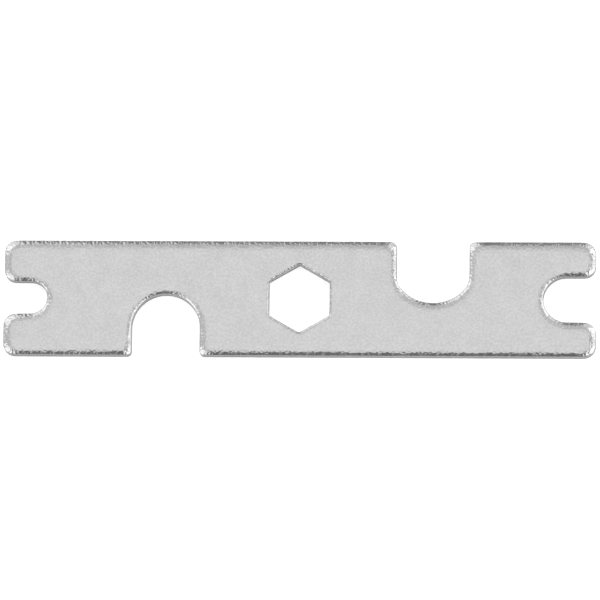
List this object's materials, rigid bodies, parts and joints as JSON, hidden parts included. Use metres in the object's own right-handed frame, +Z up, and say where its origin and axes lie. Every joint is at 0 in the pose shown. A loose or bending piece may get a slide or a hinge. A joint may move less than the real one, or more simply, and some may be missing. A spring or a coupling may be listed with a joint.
{
  "type": "flat multi-size spanner",
  "caption": "Flat blanked steel spanner with open jaws in its ends and long sides and a hexagon hole through its middle.",
  "frame": {"origin": "middle of the back face, on the axis of the hexagon hole", "axes": "+X along the plate towards its wider end jaw, +Y across it towards the wider side jaw, +Z up out of the face with the rolled rim"},
  "size_m": [0.131, 0.0258, 0.003],
  "materials": {
    "zinc_plated_steel": "satin bright zinc plating over blanked steel, finely grained, rolled rim and tumbled edges"
  },
  "bodies": {
    "root": {"wrench_plate": "zinc_plated_steel"}
  },
  "joints": []
}
